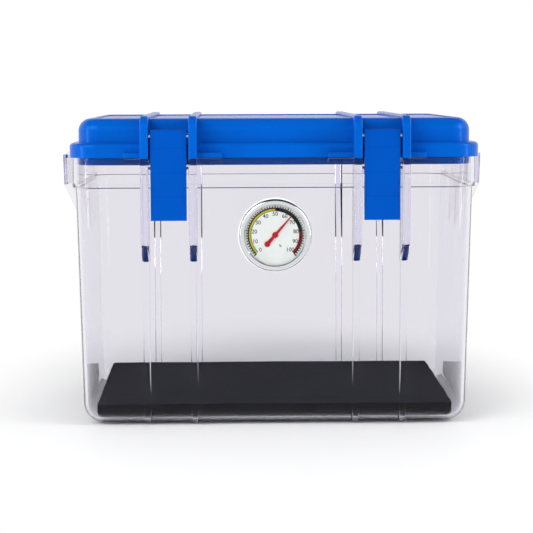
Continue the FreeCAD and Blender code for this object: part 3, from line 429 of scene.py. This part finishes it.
def foam_pad():
    """A die-cut foam sheet with soft edges, uneven by a millimetre or so, and lower at the front; its steep
    sides are painted darker as shade.
    """
    low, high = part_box("foam_pad")
    size = high - low
    shape = bmesh.new()
    bmesh.ops.create_cube(shape, size=1.0)
    bmesh.ops.scale(shape, vec=size, verts=shape.verts)
    uprights = [edge for edge in shape.edges if abs(edge.verts[0].co.z - edge.verts[1].co.z) > size.z / 2]
    round_edges(shape, uprights, SHEET_CORNER, SHEET_CORNER_STEPS)
    under = [edge for edge in shape.edges if max(v.co.z for v in edge.verts) < 0]
    round_edges(shape, under, SHEET_UNDER_ROUND, SHEET_UNDER_STEPS)
    over = [edge for edge in shape.edges if min(v.co.z for v in edge.verts) > size.z / 2 - SAME_PLACE]
    round_edges(shape, over, SHEET_TOP_ROUND, SHEET_TOP_STEPS)
    for axis, count in enumerate(SHEET_CUTS):
        for number in range(1, count):
            normal = Vector((0, 0, 0))
            normal[axis] = 1.0
            place = normal * (size[axis] * (number / count - 0.5))
            bmesh.ops.bisect_plane(shape, geom=shape.verts[:] + shape.edges[:] + shape.faces[:],
                                   plane_co=place, plane_no=normal, dist=SAME_PLACE)
    for vert in shape.verts:
        top = max(0.0, vert.co.z / size.z + 0.5)
        lump = (noise.noise(vert.co / SHEET_LUMP) - 1) / 2
        slope = 0.5 - vert.co.y / size.y
        vert.co.z += top * (lump * SHEET_LUMP_HEIGHT - slope * SHEET_FRONT_DROP)
        wave = abs(noise.noise(vert.co / SHEET_EDGE_LUMP)) * SHEET_EDGE_WAVE
        vert.co.x -= math.copysign(wave, vert.co.x)
        vert.co.y -= math.copysign(wave, vert.co.y)
    bmesh.ops.translate(shape, vec=(low + high) / 2, verts=shape.verts)
    piece = finish_piece("foam_pad_sheet", shape, "tub", MATERIALS["charcoal_foam"])
    # Painted shade: faces steeper than the slope take the darker copy of the foam
    piece.data.materials.append(FOAM_SIDE_SHADE)
    for face in piece.data.polygons:
        face.material_index = 1 if abs(face.normal.z) < SHEET_SIDE_SLOPE else 0
    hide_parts("foam_pad")


foam_pad()


# Desiccant sachet

SACHET_CUTS = (64, 44)
SACHET_SEAM = 6 * MM
SACHET_SEAM_THICKNESS = 0.5 * MM
SACHET_LONG_POWER = 5
SACHET_CROSS_POWER = 4
BEADS_PER_METRE = 320.0
BEAD_HEIGHT = 0.45 * MM


def share_inside(place, half):
    """0 on the seam, rising to 1 at the sachet's middle."""
    return max(0.0, half - SACHET_SEAM - abs(place)) / (half - SACHET_SEAM)


def desiccant_sachet():
    """A pillow of beads with a flat sealed seam all round."""
    low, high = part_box("desiccant_pack")
    size = high - low
    shape = bmesh.new()
    bmesh.ops.create_grid(shape, x_segments=SACHET_CUTS[0], y_segments=SACHET_CUTS[1], size=0.5)
    bmesh.ops.scale(shape, vec=(size.x, size.y, 1), verts=shape.verts)
    upper = shape.faces[:]
    copied = bmesh.ops.duplicate(shape, geom=shape.verts[:] + shape.edges[:] + upper)
    lower_verts = [item for item in copied["geom"] if isinstance(item, bmesh.types.BMVert)]
    lower_faces = [item for item in copied["geom"] if isinstance(item, bmesh.types.BMFace)]
    lower = set(lower_verts)
    bmesh.ops.reverse_faces(shape, faces=lower_faces)
    for vert in shape.verts:
        along = 1 - (1 - share_inside(vert.co.x, size.x / 2)) ** SACHET_LONG_POWER
        across = 1 - (1 - share_inside(vert.co.y, size.y / 2)) ** SACHET_CROSS_POWER
        crown = along * across
        beads = noise.noise(vert.co * BEADS_PER_METRE) * BEAD_HEIGHT * crown
        lift = SACHET_SEAM_THICKNESS / 2 + crown * (size.z / 2 - SACHET_SEAM_THICKNESS) + beads
        vert.co.z = -lift if vert in lower else lift
    edges = [edge for edge in shape.edges if edge.is_boundary]
    bmesh.ops.bridge_loops(shape, edges=edges)
    bmesh.ops.recalc_face_normals(shape, faces=shape.faces)
    bmesh.ops.translate(shape, vec=(low + high) / 2, verts=shape.verts)
    piece = finish_piece("desiccant_sachet", shape, "lid", MATERIALS["sachet_paper"])
    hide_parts("desiccant_pack")


desiccant_sachet()


# Printing on the dial

STEP_READING = 2
NUMERAL_READING = 10
BAND_INNER = 18.2 * MM
BAND_OUTER = 20.2 * MM
YELLOW_OUTER = 19.6 * MM
BAND_EDGE = 0.4 * MM
INK_THICKNESS = 0.04 * MM
TICK_START = 19.7 * MM
TICK_WIDTH = 0.9 * MM
TICK_LENGTHS = {NUMERAL_READING: 2.6 * MM, STEP_READING: 2.1 * MM}
NUMERAL_RADIUS = 15.7 * MM
NUMERAL_HEIGHT = 4.2 * MM
NUMERAL_WEIGHT = 0.05 * MM
NUMERAL_SMOOTHNESS = 3
PERCENT_ANGLE = math.radians(155)
PERCENT_RADIUS = 9.0 * MM
PERCENT_HEIGHT = 2.8 * MM
FULL_READING = 100
YELLOW_END = 50
GREEN_END = 80


def on_dial(shape):
    """Move a shape drawn flat round the origin to its place on the dial."""
    bmesh.ops.transform(shape, matrix=GAUGE_PLACE, verts=shape.verts)


def turned_to(angle):
    """A turn clockwise from the top of the dial, as the viewer sees it."""
    return Matrix.Rotation(-angle, 3, "Z")


def dial_angle(reading):
    """Angle of a reading, clockwise from the top of the dial."""
    return DIAL_START + DIAL_SWEEP * reading / FULL_READING


def print_arc(name, ink, inner, outer, start, end, height):
    """A flat printed band between two radii, from one reading to another."""
    shape = bmesh.new()
    section = [(0, inner, DIAL_FACE), (0, outer, DIAL_FACE),
               (0, outer, DIAL_FACE + height), (0, inner, DIAL_FACE + height)]
    face = shape.faces.new([shape.verts.new(corner) for corner in section])
    centre = (0, 0, 0)
    bmesh.ops.rotate(shape, cent=centre, matrix=turned_to(dial_angle(start)), verts=shape.verts)
    bmesh.ops.spin(shape, geom=[face], cent=centre, axis=(0, 0, 1),
                   angle=dial_angle(start) - dial_angle(end), steps=(end - start) // STEP_READING,
                   use_duplicate=False)
    bmesh.ops.recalc_face_normals(shape, faces=shape.faces)
    on_dial(shape)
    return finish_piece(name, shape, "tub", INKS[ink], smooth=False)


def print_ticks():
    """A line at each second unit, longer at each ten.

    A real dial has finer lines, which would not show at the photograph's size, so these are drawn wider.
    """
    shape = bmesh.new()
    for reading in range(0, FULL_READING + 1, STEP_READING):
        length = next(TICK_LENGTHS[step] for step in TICK_LENGTHS if reading % step == 0)
        made = bmesh.ops.create_cube(shape, size=1.0)["verts"]
        bmesh.ops.scale(shape, vec=(TICK_WIDTH, length, INK_THICKNESS), verts=made)
        bmesh.ops.translate(shape, vec=(0, TICK_START + length / 2, DIAL_FACE + INK_THICKNESS), verts=made)
        bmesh.ops.rotate(shape, cent=(0, 0, 0), matrix=turned_to(dial_angle(reading)), verts=made)
    on_dial(shape)
    finish_piece("dial_ticks", shape, "tub", INKS["black"], smooth=False)


def letter_shape(text, height):
    """Numerals as a thin solid, centred on the origin."""
    curve = bpy.data.curves.new("numeral", "FONT")
    curve.body = text
    curve.size = height
    curve.align_x = "CENTER"
    curve.align_y = "CENTER"
    curve.offset = NUMERAL_WEIGHT
    curve.extrude = INK_THICKNESS / 2
    curve.resolution_u = NUMERAL_SMOOTHNESS
    holder = bpy.data.objects.new("numeral", curve)
    bpy.context.scene.collection.objects.link(holder)
    bpy.context.view_layer.update()
    mesh = bpy.data.meshes.new_from_object(holder.evaluated_get(bpy.context.evaluated_depsgraph_get()))
    bpy.data.objects.remove(holder)
    return mesh


def print_numerals():
    """A number at each ten, and the sign for percent below the hub."""
    shape = bmesh.new()
    marks = [(str(reading), dial_angle(reading), NUMERAL_RADIUS, NUMERAL_HEIGHT)
             for reading in range(0, FULL_READING + 1, NUMERAL_READING)]
    marks.append(("%", PERCENT_ANGLE, PERCENT_RADIUS, PERCENT_HEIGHT))
    for text, angle, radius, height in marks:
        mesh = letter_shape(text, height)
        place = (math.sin(angle) * radius, math.cos(angle) * radius, DIAL_FACE + INK_THICKNESS / 2)
        mesh.transform(Matrix.Translation(place))
        shape.from_mesh(mesh)
        bpy.data.meshes.remove(mesh)
    bmesh.ops.remove_doubles(shape, verts=shape.verts, dist=SAME_PLACE)
    on_dial(shape)
    finish_piece("dial_numerals", shape, "tub", INKS["black"], smooth=False)


def print_dial():
    """Four bands of ink, then the ticks and the numerals."""
    wide = (BAND_INNER - BAND_EDGE, BAND_OUTER + BAND_EDGE)
    print_arc("dial_edge_ink", "black", *wide, 0, YELLOW_END, INK_THICKNESS / 2)
    print_arc("dial_yellow_band", "yellow", BAND_INNER, YELLOW_OUTER, 0, YELLOW_END, INK_THICKNESS)
    print_arc("dial_green_band", "green", *wide, YELLOW_END, GREEN_END, INK_THICKNESS)
    print_arc("dial_red_band", "red", *wide, GREEN_END, FULL_READING, INK_THICKNESS)
    print_ticks()
    print_numerals()


print_dial()


# Needle

NEEDLE_ANGLE = math.radians(40.7)
NEEDLE_LOW = 0.65 * MM
BLADE_HEIGHT = 0.5 * MM
HUB_HEIGHT = 0.9 * MM
BLADE_TIP = 18.4 * MM
BLADE_POINT = 0.35 * MM
BLADE_NECK = 1.1 * MM
TAIL_NECK = 0.9 * MM
TAIL_WIDTH = 1.6 * MM
TAIL_LENGTH = 9.0 * MM
HUB_RADIUS = 2.3 * MM
BULB_RADIUS = 2.2 * MM
HUB_SIDES = 40
HUB_TAPER = 0.85


def needle_pointer():
    """The pressed pointer: a tapered blade, a widening tail with a round end, and a hub."""
    shape = bmesh.new()
    outline = [(TAIL_NECK, 0), (BLADE_NECK, 0), (BLADE_POINT, BLADE_TIP), (-BLADE_POINT, BLADE_TIP),
               (-BLADE_NECK, 0), (-TAIL_NECK, 0), (-TAIL_WIDTH, -TAIL_LENGTH), (TAIL_WIDTH, -TAIL_LENGTH)]
    face = shape.faces.new([shape.verts.new((x, y, NEEDLE_LOW)) for x, y in outline])
    raised = bmesh.ops.extrude_face_region(shape, geom=[face])["geom"]
    bmesh.ops.translate(shape, vec=(0, 0, BLADE_HEIGHT),
                        verts=[item for item in raised if isinstance(item, bmesh.types.BMVert)])
    bmesh.ops.recalc_face_normals(shape, faces=shape.faces)
    for centre, radius, height in ((0, HUB_RADIUS, HUB_HEIGHT), (-TAIL_LENGTH, BULB_RADIUS, BLADE_HEIGHT)):
        place = Matrix.Translation((0, centre, NEEDLE_LOW + height / 2))
        bmesh.ops.create_cone(shape, cap_ends=True, segments=HUB_SIDES, radius1=radius,
                              radius2=radius * HUB_TAPER, depth=height, matrix=place)
    bmesh.ops.rotate(shape, cent=(0, 0, 0), matrix=turned_to(NEEDLE_ANGLE), verts=shape.verts)
    on_dial(shape)
    piece = finish_piece("needle_pointer", shape, "needle", MATERIALS["red_enamel"],
                         smooth=False)
    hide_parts("needle")


needle_pointer()


# Floor, light and camera

# The painted floor fades to plain white over an oval, sooner at the sides than behind
FLOOR_OVAL = (1.5, 0.8, 1.0)
FLOOR_FADE_START = 0.19
FLOOR_FADE_END = 0.42
FLOOR_RADIUS = 6.0
FLOOR_SIDES = 64

# The ceiling darkens between two heights of the view's direction
CEILING_START = 0.55
CEILING_FULL = 0.72
STUDIO_LIGHT = 0.55
LAMP_AIM = Vector((0, 0, 0.12))


def calculate(tree, operation, first, second):
    return add(tree, "Math", {"operation": operation}, {0: first, 1: second}).outputs[0]


def mix_shaders(tree, factor, first, second):
    """The first shader where the factor is 0, and the second where it is 1."""
    return add(tree, "MixShader", None, {0: factor, 1: first, 2: second}).outputs["Shader"]


def seen_directly(tree):
    """1 for rays that show the backdrop: from the camera, off gloss or through clear plastic."""
    rays = add(tree, "LightPath").outputs
    shown = calculate(tree, "MAXIMUM", rays["Is Camera Ray"], rays["Is Glossy Ray"])
    return calculate(tree, "MAXIMUM", shown, rays["Is Transmission Ray"])


def studio_world():
    """A white backdrop under a dark ceiling, which draws the edges of clear plastic."""
    world = bpy.data.worlds.new("studio")
    world.use_nodes = True
    tree = world.node_tree
    tree.nodes.clear()
    direction = add(tree, "SeparateXYZ", None, {"Vector": add(tree, "TexCoord").outputs["Generated"]})
    overhead = add(tree, "MapRange", None, {"Value": direction.outputs["Z"], "From Min": CEILING_START,
                                            "From Max": CEILING_FULL}).outputs["Result"]
    not_camera = calculate(tree, "SUBTRACT", 1.0, add(tree, "LightPath").outputs["Is Camera Ray"])
    dark = calculate(tree, "MULTIPLY", overhead, not_camera)
    shown = blend_colours(tree, dark, linear("#FFFFFF"), linear("#303036"))
    backdrop = add(tree, "Background", None, {"Color": shown, "Strength": 1.0})
    light = add(tree, "Background", None, {"Color": linear("#FFFFFF"), "Strength": STUDIO_LIGHT})
    mixed = mix_shaders(tree, seen_directly(tree), light.outputs["Background"], backdrop.outputs["Background"])
    output = add(tree, "OutputWorld", None, {"Surface": mixed})
    output.is_active_output = True
    bpy.context.scene.world = world


def floor_material():
    """White paint near the box, which keeps its shadow, and plain white further off."""
    material, tree, output, place = start_material("floor_white")
    oval = add(tree, "VectorMath", {"operation": "MULTIPLY"}, {0: place, 1: FLOOR_OVAL}).outputs["Vector"]
    distance = add(tree, "VectorMath", {"operation": "LENGTH"}, {0: oval}).outputs["Value"]
    far = add(tree, "MapRange", {"interpolation_type": "SMOOTHSTEP"},
              {"Value": distance, "From Min": FLOOR_FADE_START, "From Max": FLOOR_FADE_END})
    share = calculate(tree, "MULTIPLY", far.outputs["Result"], seen_directly(tree))
    paint = add(tree, "BsdfPrincipled", None, {"Base Color": linear("#FDFDFE"), "Roughness": 0.6})
    glow = add(tree, "Emission", None, {"Color": linear("#FFFFFF"), "Strength": 1.0})
    mixed = mix_shaders(tree, share, paint.outputs["BSDF"], glow.outputs["Emission"])
    tree.links.new(mixed, output.inputs["Surface"])
    return material


def studio_floor():
    shape = bmesh.new()
    bmesh.ops.create_circle(shape, cap_ends=True, segments=FLOOR_SIDES, radius=FLOOR_RADIUS)
    mesh = bpy.data.meshes.new("floor")
    shape.to_mesh(mesh)
    shape.free()
    mesh.materials.append(floor_material())
    floor = bpy.data.objects.new("floor", mesh)
    bpy.context.scene.collection.objects.link(floor)


def area_lamp(name, place, width, height, power):
    """A soft lamp that looks at the middle of the box."""
    data = bpy.data.lights.new(name, "AREA")
    data.shape = "RECTANGLE"
    data.size = width
    data.size_y = height
    data.energy = power
    lamp = bpy.data.objects.new(name, data)
    lamp.location = place
    lamp.rotation_euler = (LAMP_AIM - Vector(place)).to_track_quat("-Z", "Y").to_euler()
    bpy.context.scene.collection.objects.link(lamp)


def fitted_camera():
    """The camera that took the photograph, from its place, turn and focal length."""
    forward = Vector((math.sin(CAMERA_YAW) * math.cos(CAMERA_PITCH),
                      math.cos(CAMERA_YAW) * math.cos(CAMERA_PITCH),
                      -math.sin(CAMERA_PITCH)))
    level = Vector((math.cos(CAMERA_YAW), -math.sin(CAMERA_YAW), 0))
    upright = level.cross(forward)
    right = level * math.cos(CAMERA_ROLL) + upright * math.sin(CAMERA_ROLL)
    up = upright * math.cos(CAMERA_ROLL) - level * math.sin(CAMERA_ROLL)
    data = bpy.data.cameras.new("camera")
    data.sensor_width = SENSOR_WIDTH
    data.lens = FOCAL_PIXELS / PHOTO_PIXELS * SENSOR_WIDTH
    camera = bpy.data.objects.new("camera", data)
    turn = Matrix((right, up, -forward)).transposed()
    camera.matrix_world = Matrix.Translation(CAMERA_PLACE) @ turn.to_4x4()
    bpy.context.scene.collection.objects.link(camera)
    bpy.context.scene.camera = camera


studio_world()
studio_floor()
area_lamp("key_lamp", place=(-0.9, -1.3, 1.1), width=0.9, height=0.9, power=15.5)
area_lamp("side_lamp", place=(1.3, -0.6, 0.9), width=0.9, height=0.9, power=7.5)
area_lamp("left_strip", place=(-1.15, -0.6, 0.4), width=0.12, height=1.0, power=5.0)
area_lamp("right_strip", place=(1.15, -0.6, 0.4), width=0.12, height=1.0, power=5.0)
fitted_camera()
bpy.context.scene.view_settings.view_transform = "Standard"
